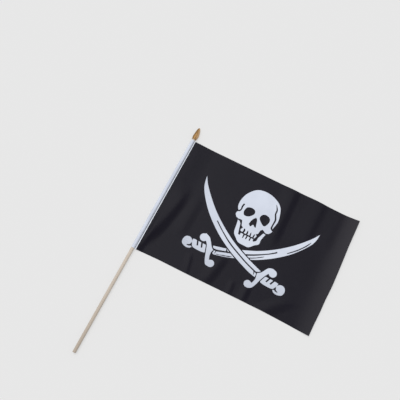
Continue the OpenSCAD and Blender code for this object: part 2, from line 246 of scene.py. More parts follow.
SKULL_LINES = [
    [(31.2, 96.1, 1.0), (37.9, 84.4, 3.5), (38.8, 73.6, 3.5), (44.4, 60.2, 4.0), (44.0, 46.4, 3.4),
     (44.6, 37.1, 4.2), (51.3, 32.5, 3.8)],
    [(-38.7, 63.5, 3.8), (-40.2, 55.3, 3.8), (-39.7, 48.1, 3.2), (-42.5, 42.6, 3.8), (-49.4, 40.8, 2.6)],
    [(31.3, 19.7, 3.6), (40.7, 18.3, 2.0)],
    [(-18.6, -2.9, 3.4), (-7.5, -4.0, 3.3), (2.6, -3.9, 3.3), (10.9, -4.5, 3.1), (20.4, -4.1, 2.9)],
    [(-12.2, 7.7, 2.6), (-10.3, 3.4, 4.3), (-12.1, -3.8, 3.8)],
    [(-2.7, 7.0, 1.4), (-1.6, 1.8, 3.6), (-2.6, -4.3, 3.8)],
    [(5.8, 7.3, 0.5), (6.8, 1, 3.2), (6.8, -4.7, 3)],
    [(16, 6.3, 2.2), (15, 1.7, 3.2), (14.9, -4.3, 3.8)],
    [(-6.6, -4.9, 4.1), (-6.8, -14.9, 1.9)],
    [(1.2, -4.9, 3.3), (0.8, -14, 2.7)],
    [(10.2, -4.7, 3.0), (10.1, -13.7, 2.9)],
]
FRONT_BACK = [(-150.2, 85.3), (-138, 65.7), (-115.2, 39.7), (-86.9, 12.6), (-51.6, -13.6), (-17.5, -34),
              (22.6, -51.9), (61.2, -65.7)]
FRONT_HEEL = [(66.2, -67), (61.9, -70.9), (56.6, -72.7), (59.1, -80.4)]
FRONT_EDGE = [(58.8, -86.1), (37.5, -80.5), (-3, -64.2), (-36.2, -47.3), (-64.9, -29), (-99, -1),
              (-125.4, 28.4), (-143.8, 57.1), (-150.2, 82.6)]
FRONT_LINES = [
    [(-78.1, -4.3, 2.7), (-55.2, -21.8, 2.5), (-25.6, -40.8, 3.3), (10.8, -57.7, 3.1), (31.7, -66.3, 3.1),
     (59.5, -75.7, 3.4)],
    [(50.8, -75, 1.5), (53.2, -77.7, 2.2), (53.2, -81, 1.3), (53.7, -83.5, 0.4)],
]
REAR_BACK = [(154, 76.8), (141.5, 58.9), (121.6, 36.3), (101.3, 16.8), (73.1, -5.6), (42.1, -25),
             (15.7, -37.2), (-13.2, -49.1), (-28.7, -55.2), (-59.3, -63)]
REAR_HEEL = [(-58.4, -66.5), (-52.7, -70.8), (-53.6, -80.4)]
REAR_EDGE = [(-50, -81.4), (-32, -77.5), (-19, -73.6), (-3.5, -67.9), (33.1, -53.3), (54.9, -41.9),
             (81.3, -24.3), (108.5, -1.7), (128.9, 21.1), (145.6, 44.6), (152, 61.1), (154, 75)]
REAR_LINES = [
    [(81.5, -8.8, 3.3), (74.6, -14.6, 3.1), (61.4, -24.0, 2.5), (34.2, -40.1, 3.5), (7.2, -52.4, 3.8),
     (-24.4, -62.5, 3.8), (-48, -70.0, 4.4), (-59.9, -69.1, 3.8)],
    [(143.3, 49.4, 0.8), (140.9, 44.9, 1.9), (135.6, 35.8, 2.7), (128.7, 26.3, 2.7), (120.9, 16.9, 2.6),
     (107.1, 3.1, 2.2), (102.6, -0.6, 1.2)],
    [(21.8, -54.4, 2), (32.7, -49.1, 2.2), (43.7, -42.8, 1.8), (52.4, -36.7, 1.9), (58.7, -32.5, 0.8)],
    [(-45, -78.1, 1.4), (-36, -76.1, 1.2), (-28.4, -73.8, 2.2), (-22, -71.9, 1.6), (-16, -70, 2.3),
     (-8.5, -66.2, 0.3)],
    [(-48.3, -70.5, 2.4), (-48, -74, 1.8), (-49.6, -79.1, 0.9)],
]
REAR_SHADOW = [(-29.2, -53.4), (-27.2, -55.6), (-21.8, -61.3), (-20.3, -63.8), (-26.8, -63.6)]
UPPER_CURL_R = 9.4
LOWER_CURL_R = 8.8
LEFT_GUARD = {
    "upper": (-88.1, -55.2),
    "lower": (-46.6, -103.9),
    "front": [(-88.4, -43.8), (-82.1, -45.8), (-73.8, -50.4), (-61.6, -66.9), (-55, -72.2)],
    "foot": [(-57.2, -80), (-56.3, -89.3), (-52.4, -99.2)],
    "back": [(-47.9, -111.9), (-56.8, -110.6), (-63.3, -98.9), (-69.5, -80.8), (-74.3, -67.2),
             (-79.9, -60.8)],
}
RIGHT_GUARD = {
    "upper": (93.1, -59.3),
    "lower": (50.6, -107.8),
    "front": [(92.5, -49.2), (86.8, -49.2), (78, -53.3), (68, -68.9), (59.9, -74.7)],
    "foot": [(60.8, -80.3), (61.9, -89.7), (58.9, -100.5)],
    "back": [(53.1, -117.3), (62.2, -112.4), (68, -101.9), (71.9, -90), (78.3, -74.2), (85.2, -63.4)],
}
POMMEL = (-119.1, -79.5)
POMMEL_R = 11.1
GRIP = [(-109.2, -69.5), (-104.8, -68.7), (-76.3, -69.2), (-72.1, -74.2), (-71.2, -80), (-69.2, -84.5),
        (-71.4, -87.6), (-78.5, -88.7), (-90.6, -88.9), (-99.6, -88.1), (-104, -85.8), (-108.6, -75.9)]
GRIP_NOTCHES = [
    [(-98.1, -66.6, 3.8), (-95.4, -73.4, 3.8), (-92.9, -79.7, 3.8)],
    [(-86.5, -66.7, 3.8), (-84.1, -73.9, 3.8), (-81.8, -79.9, 3.4)],
]
POMMEL_RIM = [(-130.7, -79.5), (-129, -88.2), (-123.2, -92.6), (-114.9, -94.6), (-107.1, -92.7),
              (-103.3, -88.3)]
POMMEL_END = (-106.1, -87.7)
POMMEL_CUT = [(-107, -80.2, 3.8), (-108, -84.2, 3.8), (-110.7, -87.1, 3.8), (-116.5, -88.4, 1.6)]
# The right handle mirrors the left one, turned a little and moved so that this point of it comes here
HANDLE_FROM = (-48.6, -103)
HANDLE_TO = (52.3, -105.6)
HANDLE_TURN = math.radians(-3.2)


def joined(*runs):
    """One outline from runs of points and single points."""
    return np.concatenate([np.array(run, float).reshape(-1, 2) for run in runs])


def skull_shape():
    head = joined(curve(CRANIUM), curve(RIGHT_CHEEK), curve(JAW), curve(LEFT_CHEEK))
    cuts = [ring(LEFT_EYE), ring(RIGHT_EYE), joined(NOSE), joined(LEFT_HOLLOW), joined(RIGHT_HOLLOW)]
    return [head], cuts + [ribbon(line) for line in SKULL_LINES]


def sabre_shapes():
    front = joined(curve(FRONT_BACK), FRONT_HEEL, curve(FRONT_EDGE))
    rear = joined(curve(REAR_BACK), REAR_HEEL, curve(REAR_EDGE))
    rear_cuts = [grown(front, CROSS_GAP), joined(REAR_SHADOW)] + [ribbon(line) for line in REAR_LINES]
    return [([front], [ribbon(line) for line in FRONT_LINES]), ([rear], rear_cuts)]


def guard_outlines(guard):
    upper, lower = guard["upper"], guard["lower"]
    body = joined(curve(guard["front"]), curve(guard["foot"]), lower, curve(guard["back"]), upper)
    return [disc(upper, UPPER_CURL_R), disc(lower, LOWER_CURL_R), body]


def right_handle(loop):
    """The mirror image of an outline of the left handle, where the right one has it."""
    x, y = (loop - HANDLE_FROM).T
    c, s = math.cos(HANDLE_TURN), math.sin(HANDLE_TURN)
    return np.stack([-x * c - y * s, -x * s + y * c], 1) + HANDLE_TO


def hilt_shapes():
    grip = [joined(GRIP)]
    notches = [ribbon(notch) for notch in GRIP_NOTCHES]
    pommel = [disc(POMMEL, POMMEL_R), joined(curve(POMMEL_RIM), POMMEL_END, POMMEL)]
    pommel_cuts = [ribbon(POMMEL_CUT)]
    shapes = []
    for guard, place in ((LEFT_GUARD, np.array), (RIGHT_GUARD, right_handle)):
        outlines = guard_outlines(guard)
        air = [grown(loop, GUARD_CLEAR) for loop in outlines]
        shapes.append((outlines, []))
        shapes.append(([place(loop) for loop in grip], [place(loop) for loop in notches] + air))
        shapes.append(([place(loop) for loop in pommel], [place(loop) for loop in pommel_cuts]))
    return shapes


def emblem_shapes():
    """The white shapes of the emblem in the field's own millimetres, each as outlines and cuts."""
    scale = EMBLEM_W / DRAWING_W
    centre = np.array([FIELD_W / 2 - EMBLEM_SHIFT, FLAG_H / 2])
    drawn = [skull_shape()] + sabre_shapes() + hilt_shapes()
    return [tuple([loop * scale + centre for loop in loops] for loops in shape) for shape in drawn]


# Lay of the cloth: it rises to each fold's crest and drops beyond it, mostly over a shorter way.
# Each is x and y of its crest's start, then of its end, in hundredths of the field's width and height,
# and its bow, rise, drop and height in millimetres
FOLDS = [
    (-1, 1, 8.8, 66, 9.5, 32, 24, 4.2),
    (15.5, 20, 16.4, 64, 1, 30, 22, 1.7),
    (61.9, 44, 61.4, 112, 0, 36, 20, 2.3),
    (77.4, 56, 78.2, 112, 0, 42, 18, 1.15),
    (88.6, 60, 89, 112, 0, 30, 20, 0.8),
    (26.4, 18, 29.6, -4, 0, 14, 10, 1.2),
    (43, 30, 38.6, -5, 1, 22, 22, 2.3),
    (53, 13, 53.4, -4, 0, 12, 10, 1),
    (61, 15, 61, -4, 0, 16, 14, 1.8),
    (85, 20, 69, -6, 0, 30, 32, 1.6),
]
# Share of a fold's length over which it rises or dies away at each end
FOLD_END = 0.3
# Widths over which the cloth comes down from the seam, at its foot and at its head. The change from one
# to the other takes up the height divided by RUN_RISE
RUN_LOW = 18.0
RUN_HIGH = 58.0
RUN_RISE = 1.5
# Lift along the fly: the shares of the width where it starts and over which it comes in, and how much
# of it the foot has
FLY_LIFT = 6.5
FLY_FROM = 0.9
FLY_SPAN = 0.1
FLY_AT_FOOT = 0.6
# Width beside the seam over which folds and lift come in
FADE_IN = 12.0


def fold(spec, x, y):
    """How much a fold lifts the cloth at a place in the field."""
    x0, y0, x1, y1, bow, rise, drop, height = spec
    s = (100 * y / FLAG_H - y0) / (y1 - y0)
    crest = (x0 + (x1 - x0) * s) * FIELD_W / 100 + bow * 4 * s * (1 - s)
    off = x - crest
    across = height * ease(1 + off / rise) * ease(1 - off / drop)
    return across * ease(s / FOLD_END) * ease((1 - s) / FOLD_END)


def cloth_z(x, y):
    """Height of the cloth's middle layer at a place in the field."""
    drop_run = RUN_LOW + (RUN_HIGH - RUN_LOW) * ease(RUN_RISE * y / FLAG_H)
    folds = sum(fold(spec, x, y) for spec in FOLDS)
    toward_fly = np.clip((x / FIELD_W - FLY_FROM) / FLY_SPAN, 0, 2) ** 2
    fly = FLY_LIFT * toward_fly * (FLY_AT_FOOT + (1 - FLY_AT_FOOT) * ease(y / FLAG_H))
    return LAY_Z + (SEAM_Z - LAY_Z) * (1 - ease(x / drop_run)) + ease(x / FADE_IN) * (folds + fly)


# The cut edges aren't quite straight: places along each edge, and how far it lies there off its line,
# toward +Y at the foot and the head and toward +X at the fly
LOW_EDGE = [
    (0, -4.7), (14, -3.4), (60, -1.7), (140, -1.2), (220, 0.4), (320, 1.7), (380, 0.9), (440.5, -1.1),
]
TOP_EDGE = [(0, 0), (300, 0.6), (322, 1.2), (355, 0), (390, -1.1), (420, -0.5), (440.5, -0.2)]
FLY_EDGE = [
    (0, -1.3), (30, -0.9), (60, 0.2), (90, 0.1), (125, 1.6), (160, 1.1), (195, 0.3), (230, -0.8), (300, -1.0),
]
# How far into the field an edge's bend reaches, and the fineness and the width of its smoothing
EDGE_REACH = 110.0
EDGE_STATIONS = 200
EDGE_SPAN = 9


def edge_line(knots, t):
    """How far an edge lies off its line at t, from knots joined by a line with its corners rounded."""
    x, y = np.array(knots, float).T
    fine = np.linspace(x[0], x[-1], EDGE_STATIONS)
    rough = np.interp(fine, x, y)
    span = np.ones(EDGE_SPAN) / EDGE_SPAN
    smooth = np.convolve(np.pad(rough, EDGE_SPAN // 2, mode="edge"), span, mode="valid")
    return np.interp(t, fine, smooth)


def lie(x, y):
    """Where a place of the field lies in plan, once its edges are as they were cut."""
    low = edge_line(LOW_EDGE, x) * (1 - ease(y / EDGE_REACH))
    top = edge_line(TOP_EDGE, x) * ease(1 - (FLAG_H - y) / EDGE_REACH)
    fly = edge_line(FLY_EDGE, y) * ease(1 - (FIELD_W - x) / EDGE_REACH)
    return FIELD_X0 + x + fly, FLAG_Y0 + y + low + top


# Meshes
def new_piece(name, points, faces, sharp=35.0):
    """A closed piece from points in millimetres, smooth but for edges sharper than an angle."""
    mesh = bpy.data.meshes.new(name)
    mesh.from_pydata((np.array(points) * MM).tolist(), [], [list(map(int, f)) for f in faces])
    mesh.validate()
    mesh.shade_smooth()
    mesh.set_sharp_from_angle(angle=math.radians(sharp))
    piece = bpy.data.objects.new(name, mesh)
    bpy.context.collection.objects.link(piece)
    return piece


def lathe_faces(rings, sides):
    """Quads between rings of points laid round +Y, facing outwards."""
    return [
        (k * sides + a, (k + 1) * sides + a, (k + 1) * sides + (a + 1) % sides, k * sides + (a + 1) % sides)
        for k in range(rings - 1)
        for a in range(sides)
    ]


def end_caps(count, sides):
    """Faces that close the first and the last ring of a lathed form of so many points."""
    return [list(range(sides)), list(range(count - 1, count - sides - 1, -1))]


def field_triangles():
    """The field's plane points and triangles, which follow the emblem's outlines, and which are white."""
    xs = np.linspace(0, FIELD_W, FIELD_COLUMNS + 1)
    ys = np.linspace(0, FLAG_H, FIELD_ROWS + 1)
    gx, gy = np.meshgrid(xs, ys, indexing="ij")
    grid = np.stack([gx.ravel(), gy.ravel()], 1)
    shapes = emblem_shapes()
    loops = [loop for outlines, cuts in shapes for loop in outlines + cuts]
    shares = np.linspace(0, 1, OUTLINE_SAMPLES)[:, None, None]
    samples = np.concatenate([
        (loop[None] + shares * (np.roll(loop, -1, 0) - loop)[None]).reshape(-1, 2) for loop in loops
    ])
    tree = kdtree.KDTree(len(samples))
    for k, (x, y) in enumerate(samples):
        tree.insert((x, y, 0), k)
    tree.balance()
    grid = [p for p in grid if tree.find((p[0], p[1], 0))[2] > CLEAR_OF_OUTLINE]
    points = [tuple(p) for p in grid]
    edges = []
    for loop in loops:
        first = len(points)
        points += [tuple(p) for p in loop]
        edges += [(first + k, first + (k + 1) % len(loop)) for k in range(len(loop))]
    result = geometry.delaunay_2d_cdt([tuple(map(float, p)) for p in points], edges, [], 0, SAME_POINT)
    plane = np.array([tuple(p) for p in result[0]])
    triangles = np.array([tuple(f) for f in result[2]])
    a, b, c = (plane[triangles[:, k]] for k in range(3))
    area = (b[:, 0] - a[:, 0]) * (c[:, 1] - a[:, 1]) - (b[:, 1] - a[:, 1]) * (c[:, 0] - a[:, 0])
    triangles[area < 0] = triangles[area < 0][:, ::-1]
    triangles = triangles[np.abs(area) > TINY_AREA]
    middle = plane[triangles].mean(1)
    white = np.zeros(len(triangles), bool)
    for outlines, cuts in shapes:
        here = np.any([inside(loop, middle) for loop in outlines], axis=0)
        if cuts:
            here &= ~np.any([inside(loop, middle) for loop in cuts], axis=0)
        white |= here
    return plane, triangles, white


def field_layer(plane):
    """Middle layer of the field: its points, and the directions that its thickness is laid off in."""
    x, y = plane.T
    slope_x = (cloth_z(x + SLOPE_STEP, y) - cloth_z(x - SLOPE_STEP, y)) / (2 * SLOPE_STEP)
    slope_y = (cloth_z(x, y + SLOPE_STEP) - cloth_z(x, y - SLOPE_STEP)) / (2 * SLOPE_STEP)
    normal = np.stack([-slope_x, -slope_y, np.ones(len(x))], 1)
    normal /= np.linalg.norm(normal, axis=1)[:, None]
    middle = np.stack([*lie(x, y), cloth_z(x, y)], 1)
    return middle, normal


def shell(name, middle, normal, triangles, low, high):
    """A closed sheet over some triangles, between two distances from the middle layer."""
    used, index = np.unique(triangles, return_inverse=True)
    tris = index.reshape(-1, 3)
    n = len(used)
    points = np.concatenate([middle[used] + normal[used] * low, middle[used] + normal[used] * high])
    sides = np.concatenate([tris[:, [0, 1]], tris[:, [1, 2]], tris[:, [2, 0]]])
    pairs = {(int(a), int(b)) for a, b in sides}
    rim = [(a, b, b + n, a + n) for a, b in sorted(pairs) if (b, a) not in pairs]
    return new_piece(name, points, np.concatenate([tris + n, tris[:, ::-1]]).tolist() + rim)


# Sleeve
HEM_POINTS = 3


def sleeve_section():
    """The section of the cloth from the hem's cut edge round the dowel to the print."""
    loop_r = (STICK_R + SLEEVE_ROOM) / math.cos(math.pi / LOOP_STEPS) + CLOTH_T / 2

    def tangent(z, side):
        seam = SEAM_X / SLEEVE_LOOSE
        return math.atan2(z, seam) + side * math.acos(loop_r / math.hypot(seam, z))

    turn = np.linspace(tangent(HEM_Z, -1), tangent(SEAM_Z, 1) - 2 * math.pi, LOOP_STEPS + 1)
    hem = [(x, HEM_Z) for x in np.linspace(HEM_X, SEAM_X, HEM_POINTS)]
    margin = [(SEAM_X, SEAM_Z), (SEAM_X + MARGIN_W / 3, SEAM_Z), (SEAM_X + MARGIN_W * 2 / 3, SEAM_Z)]
    loop = np.stack([np.cos(turn), np.sin(turn)], 1) * loop_r
    loop[:, 0] *= np.where(loop[:, 0] > 0, SLEEVE_LOOSE, 1)
    return np.concatenate([hem, loop, margin, [(FIELD_X0, SEAM_Z)]])


def section_normals(section):
    """Directions square to the section, as long as its mitres need."""
    step = np.diff(section, axis=0)
    step /= np.linalg.norm(step, axis=1)[:, None]
    ahead = np.concatenate([step, step[-1:]])
    behind = np.concatenate([step[:1], step])
    left = np.stack([-ahead[:, 1] - behind[:, 1], ahead[:, 0] + behind[:, 0]], 1)
    left /= np.linalg.norm(left, axis=1)[:, None]
    mitre = left[:, 0] * -ahead[:, 1] + left[:, 1] * ahead[:, 0]
    return left / mitre[:, None]


def sewn_layer(plane, triangles, middle, normal):
    """The field's layer with the sleeve sewn on along the field's hoist edge."""
    edge = np.nonzero(plane[:, 0] < ON_EDGE)[0]
    edge = edge[np.argsort(plane[edge, 1])]
    section = sleeve_section()
    square = section_normals(section)
    columns = len(section) - 1
    rows = plane[edge, 1]
    along = lie(np.zeros(len(rows)), rows)[1]
    round_dowel = [HEM_POINTS <= k <= HEM_POINTS + LOOP_STEPS for k in range(columns)]
    sleeve = np.array([
        (x + askew(y) * bent, y, z) for (x, z), bent in zip(section[:-1], round_dowel) for y in along
    ])
    outwards = np.array([(x, 0, z) for x, z in square[:-1] for _ in rows])
    first = len(plane)
    ids = np.concatenate([first + np.arange(columns * len(rows)).reshape(columns, -1), edge[None]])
    a, b, c, d = ids[:-1, :-1], ids[1:, :-1], ids[1:, 1:], ids[:-1, 1:]
    quads = np.concatenate([np.stack([a, b, c], -1).reshape(-1, 3), np.stack([a, c, d], -1).reshape(-1, 3)])
    return (
        np.concatenate([middle, sleeve]),
        np.concatenate([normal, outwards]),
        np.concatenate([triangles, quads]),
    )


# Dowel and tip
def make_dowel():
    stations = [
        (STICK_R - BUTT_CHAMFER, 0.0),
        (STICK_R - BUTT_CHAMFER / 2, BUTT_CHAMFER * BUTT_MIDDLE),
        (STICK_R, BUTT_CHAMFER),
    ]
    stations += [(STICK_R, y) for y in np.linspace(BUTT_CHAMFER, STICK_L, DOWEL_RINGS)[1:]]
    turn = np.linspace(0, 2 * math.pi, DOWEL_SIDES, endpoint=False)
    points = [(r * math.cos(t) + askew(y), y, r * math.sin(t)) for r, y in stations for t in turn]
    faces = lathe_faces(len(stations), DOWEL_SIDES) + end_caps(len(points), DOWEL_SIDES)
    return new_piece("dowel", points, faces, sharp=30)


def swell(s):
    """The tip's half width from its socket out to its belly."""
    return SOCKET_R + TIP_FLARE * ease((s + FLARE_LEAD) / (BELLY_L + FLARE_LEAD))


def taper(s, start, p, q):
    """1 as far as start and 0 at the tip's point, along a curve that two powers shape."""
    v = np.maximum(0, (s - start) / (TIP_L - start))
    return np.maximum(0, 1 - v**p) ** q


def tip_lean(s):
    """How far the tip's middle lies toward the fly, since its outline is fuller on that side."""
    return TIP_LEAN * np.sin(LEAN_START + LEAN_TURN * s / TIP_L)


def make_spear_tip():
    """A blunt leaf, thinner than it is wide, with a bore that takes the end of the dowel."""
    sides = TIP_SIDES
    s = TIP_L * np.sin(np.linspace(0, math.pi / 2, TIP_RINGS, endpoint=False))
    half_w = swell(s) * taper(s, BELLY_L, *WIDTH_TAPER)
    lean = tip_lean(s)
    half_t = SOCKET_R * taper(s, SOCKET_L, *THICKNESS_TAPER)
    power = 2 / (2 - TIP_SHARPNESS * ease((s - SOCKET_L) / (TIP_L - SOCKET_L)))
    turn = np.linspace(0, 2 * math.pi, sides, endpoint=False)
    c, d = np.cos(turn), np.sin(turn)
    points = []
    for w, t, e, y, aside in zip(half_w, half_t, power, s, lean):
        x = w * np.sign(c) * np.abs(c) ** e + aside
        z = t * np.sign(d) * np.abs(d) ** e
        points += [(a, TIP_Y + y, b) for a, b in zip(x, z)]
    faces = lathe_faces(TIP_RINGS, sides)
    last = (TIP_RINGS - 1) * sides
    apex = len(points)
    points.append((float(tip_lean(TIP_L)), TIP_Y + TIP_L, 0))
    faces += [(last + a, apex, last + (a + 1) % sides) for a in range(sides)]
    # The socket's bore, its mouth and its floor
    mouth = len(points)
    points += [(BORE_R * x, TIP_Y, BORE_R * z) for x, z in zip(c, d)]
    points += [(BORE_R * x, TIP_Y + SOCKET_L, BORE_R * z) for x, z in zip(c, d)]
    deep = mouth + sides
    for a in range(sides):
        b = (a + 1) % sides
        faces.append((a, b, mouth + b, mouth + a))
        faces.append((mouth + a, mouth + b, deep + b, deep + a))
    faces.append([deep + a for a in range(sides)])
    points = [(x + askew(y), y, z) for x, y, z in points]
    return new_piece("gold_tip", points, faces, sharp=40)


# Stitches
def stitch_mesh():
    """One stitch: a short thread along +Y that rises from one needle hole and dips into the next."""
    turn = np.linspace(0, 2 * math.pi, STITCH_SIDES, endpoint=False)
    points = []
    for v in np.linspace(-1, 1, STITCH_RINGS):
        y = v * STITCH_L / 2
        z = THREAD_R * (STITCH_CREST - STITCH_DIP * v**4)
        r = THREAD_R * (1 - STITCH_THINNING * v**2)
        points += [(r * math.cos(a), y, z + r * math.sin(a)) for a in turn]
    faces = lathe_faces(STITCH_RINGS, STITCH_SIDES) + end_caps(len(points), STITCH_SIDES)
    return new_piece("one_stitch", points, faces, sharp=80)


def stitch_tree(finish):
    """Two rows of stitches, one above the margin and one under the hem, from a count and a pitch."""
    tree = bpy.data.node_groups.new("stitch_rows", "GeometryNodeTree")
    sockets = {}
    for name, kind, value in (
        ("Stitch", "NodeSocketObject", None),
        ("Count", "NodeSocketInt", 1),
        ("Pitch", "NodeSocketVector", (0, 0, 0)),
        ("Upper start", "NodeSocketVector", (0, 0, 0)),
        ("Lower start", "NodeSocketVector", (0, 0, 0)),
        ("Sway", "NodeSocketFloat", 0.0),
    ):
        socket = tree.interface.new_socket(name, in_out="INPUT", socket_type=kind)
        if value is not None:
            socket.default_value = value
        sockets[name] = socket.identifier
    tree.interface.new_socket("Geometry", in_out="OUTPUT", socket_type="NodeSocketGeometry")

    def node(kind, inputs=None, **settings):
        made = tree.nodes.new(kind)
        for key, value in settings.items():
            setattr(made, key, value)
        for key, value in (inputs or {}).items():
            if isinstance(value, bpy.types.NodeSocket):
                tree.links.new(value, made.inputs[key])
            else:
                made.inputs[key].default_value = value
        return made

    given = node("NodeGroupInput").outputs
    stitch = node("GeometryNodeObjectInfo", {"Object": given["Stitch"]}).outputs["Geometry"]
    sway_low = node("ShaderNodeMath", {0: given["Sway"], 1: -1.0}, operation="MULTIPLY").outputs[0]
    rows = []
    for start, flip, seed in (("Upper start", 0.0, UPPER_SEED), ("Lower start", math.pi, LOWER_SEED)):
        line = node("GeometryNodeMeshLine", {
            "Count": given["Count"], "Start Location": given[start], "Offset": given["Pitch"],
        })
        spread = {2: sway_low, 3: given["Sway"], "Seed": seed}
        sway = node("FunctionNodeRandomValue", spread, data_type="FLOAT")
        turn = node("ShaderNodeCombineXYZ", {"Y": flip, "Z": sway.outputs[1]})
        turned = node("FunctionNodeEulerToRotation", {0: turn.outputs[0]})
        rows.append(node("GeometryNodeInstanceOnPoints", {
            "Points": line.outputs["Mesh"], "Instance": stitch, "Rotation": turned.outputs[0],
        }).outputs["Instances"])
    both = node("GeometryNodeJoinGeometry")
    for row in rows:
        tree.links.new(row, both.inputs[0])
    real = node("GeometryNodeRealizeInstances", {"Geometry": both.outputs[0]})
    done = node("GeometryNodeSetMaterial", {"Geometry": real.outputs[0], "Material": finish})
    output = node("NodeGroupOutput")
    tree.links.new(done.outputs[0], output.inputs[0])
    return tree, sockets


def stitch_row():
    """How many stitches a row has, and where along Y its first one lies."""
    low, high = lie(np.zeros(2), np.array([0.0, FLAG_H]))[1]
    count = int((high - low - 2 * END_STITCH) // STITCH_PITCH) + 1
    return count, float(low + high - (count - 1) * STITCH_PITCH) / 2


def make_stitches(finish):
    stitch = stitch_mesh()
    tree, sockets = stitch_tree(finish)
    carrier = bpy.data.objects.new("stitch_carrier", bpy.data.meshes.new("stitch_carrier"))
    bpy.context.collection.objects.link(carrier)
    rows = carrier.modifiers.new("rows", "NODES")
    rows.node_group = tree
    count, y0 = stitch_row()
    upper_z = SEAM_Z + CLOTH_T / 2
    lower_z = HEM_Z - CLOTH_T / 2
    rows[sockets["Stitch"]] = stitch
    rows[sockets["Count"]] = count
    rows[sockets["Pitch"]] = (0.0, STITCH_PITCH * MM, 0.0)
    rows[sockets["Upper start"]] = (STITCH_X * MM, y0 * MM, upper_z * MM)
    rows[sockets["Lower start"]] = (STITCH_X * MM, y0 * MM, lower_z * MM)
    rows[sockets["Sway"]] = STITCH_SWAY
    bpy.context.view_layer.update()
    mesh = bpy.data.meshes.new_from_object(carrier.evaluated_get(bpy.context.evaluated_depsgraph_get()))
    mesh.name = "seam_stitches"
    for spare in (carrier, stitch):
        bpy.data.objects.remove(spare)
    piece = bpy.data.objects.new("seam_stitches", mesh)
    bpy.context.collection.objects.link(piece)
    return piece


# Shader maths
class Value:
    """A socket that takes part in sums: each operation adds its Math node to the same tree."""

    def __init__(self, nodes, socket):
        self.nodes = nodes
        self.socket = socket

    def maths(self, operation, first, second=0.0):
        return self.nodes.node("ShaderNodeMath", {"operation": operation}, {0: first, 1: second})

    def __add__(self, other):
        return self.maths("ADD", self, other)

    def __sub__(self, other):
        return self.maths("SUBTRACT", self, other)

    def __rsub__(self, other):
        return self.maths("SUBTRACT", other, self)

    def __mul__(self, other):
        return self.maths("MULTIPLY", self, other)

    __radd__ = __add__
    __rmul__ = __mul__

    def sine(self):
        return self.maths("SINE", self)

    def larger(self, other):
        return self.maths("MAXIMUM", self, other)

    def clipped(self, low, high):
        """0 below low, 1 above high, smooth between."""
        return self.nodes.node(
            "ShaderNodeMapRange", {"interpolation_type": "SMOOTHSTEP", "clamp": True},
            {"Value": self, "From Min": low, "From Max": high},
        )

    def band(self, start, full, fading, end):
        """0 below start and above end, 1 from full to fading, smooth between."""
        return self.clipped(start, full) * (1 - self.clipped(fading, end))


class Nodes:
    """A node tree, and the one way to add a node to it."""

    def __init__(self, tree):
        self.tree = tree

    def node(self, kind, settings=None, inputs=None, out=0):
        made = self.tree.nodes.new(kind)
        for key, value in (settings or {}).items():
            setattr(made, key, value)
        for key, value in (inputs or {}).items():
            if isinstance(value, Value):
                self.tree.links.new(value.socket, made.inputs[key])
            else:
                made.inputs[key].default_value = value
        return Value(self, made.outputs[out])


# The sockets that a Mix node has for colours, which go by number
MIX_FACTOR, MIX_FIRST, MIX_SECOND, MIX_RESULT = 0, 6, 7, 2


class Finish(Nodes):
    """A material whose constants sit on its shader and whose varying inputs come from nodes."""

    def __init__(self, name, **constants):
        self.material = bpy.data.materials.new(name)
        self.material.use_nodes = True
        super().__init__(self.material.node_tree)
        self.shader = self.tree.nodes["Principled BSDF"]
        for key, value in constants.items():
            self.shader.inputs[key.replace("_", " ")].default_value = value

    def place(self, scale=(1, 1, 1)):
        """Object coordinates in millimetres, stretched by scale."""
        at = self.node("ShaderNodeTexCoord", out="Object")
        size = tuple(s / MM for s in scale)
        return self.node("ShaderNodeMapping", {"vector_type": "POINT"}, {"Vector": at, "Scale": size})

    def axes(self, at):
        parts = self.node("ShaderNodeSeparateXYZ", inputs={0: at}).socket.node
        return [Value(self, part) for part in parts.outputs]

    def noise(self, at, scale, detail=2.0, roughness=0.5, distortion=0.0):
        return self.node("ShaderNodeTexNoise", None, {
            "Vector": at, "Scale": scale, "Detail": detail, "Roughness": roughness, "Distortion": distortion,
        })

    def mix(self, factor, first, second):
        """A colour between two colours, linear and opaque where they are plain numbers."""
        a, b = (colour if isinstance(colour, Value) else (*colour, 1) for colour in (first, second))
        sockets = {MIX_FACTOR: factor, MIX_FIRST: a, MIX_SECOND: b}
        return self.node("ShaderNodeMix", {"data_type": "RGBA"}, sockets, MIX_RESULT)

    def set(self, **inputs):
        for key, value in inputs.items():
            self.tree.links.new(value.socket, self.shader.inputs[key.replace("_", " ")])

    def bump(self, height, distance, strength):
        """Relief from a height, which stands up by a distance in millimetres."""
        sockets = {"Height": height, "Distance": distance * MM, "Strength": strength}
        self.set(Normal=self.node("ShaderNodeBump", None, sockets))


def linear(r, g, b):
    """A linear colour from an 8-bit display one."""
    return tuple(v / 255 / 12.92 if v <= 10.31 else ((v / 255 + 0.055) / 1.055) ** 2.4 for v in (r, g, b))


# Colours of the finishes
CLOTH_LIGHT = linear(213, 219, 232)
CLOTH_DARK = linear(198, 204, 218)
# Painted shade: the white made darker toward the foot and the hoist
CLOTH_SHADED = linear(178, 184, 197)
# Painted light: the margin beside the sleeve's tube is made whiter than the rest of the cloth
MARGIN_PAINTED_LIGHT = linear(230, 235, 243)
# Painted shade in the crease where the tube meets the margin, and of the pucker at each stitch
SEAM_SHADE_GREY = linear(120, 126, 138)
DYE_LIGHT = linear(17, 15, 26)
DYE_DARK = linear(14, 12, 23)
# Painted sheen: the black made lighter along the fly
DYE_SHEEN = linear(42, 40, 46)
BACK_LIGHT = linear(48, 47, 52)
BACK_DARK = linear(40, 39, 44)
WOOD_LIGHT = linear(209, 198, 185)
WOOD_DARK = linear(192, 180, 167)
BUTT_LIGHT = linear(188, 176, 162)
BUTT_DARK = linear(171, 158, 144)
PORE_BROWN = linear(146, 124, 102)
GOLD_LIGHT = linear(150, 116, 73)
GOLD_DARK = linear(124, 92, 50)
# Painted highlight along the tip's flank
GOLD_HIGHLIGHT = linear(200, 165, 127)
THREAD_LIGHT = linear(220, 223, 232)
THREAD_DARK = linear(196, 200, 210)

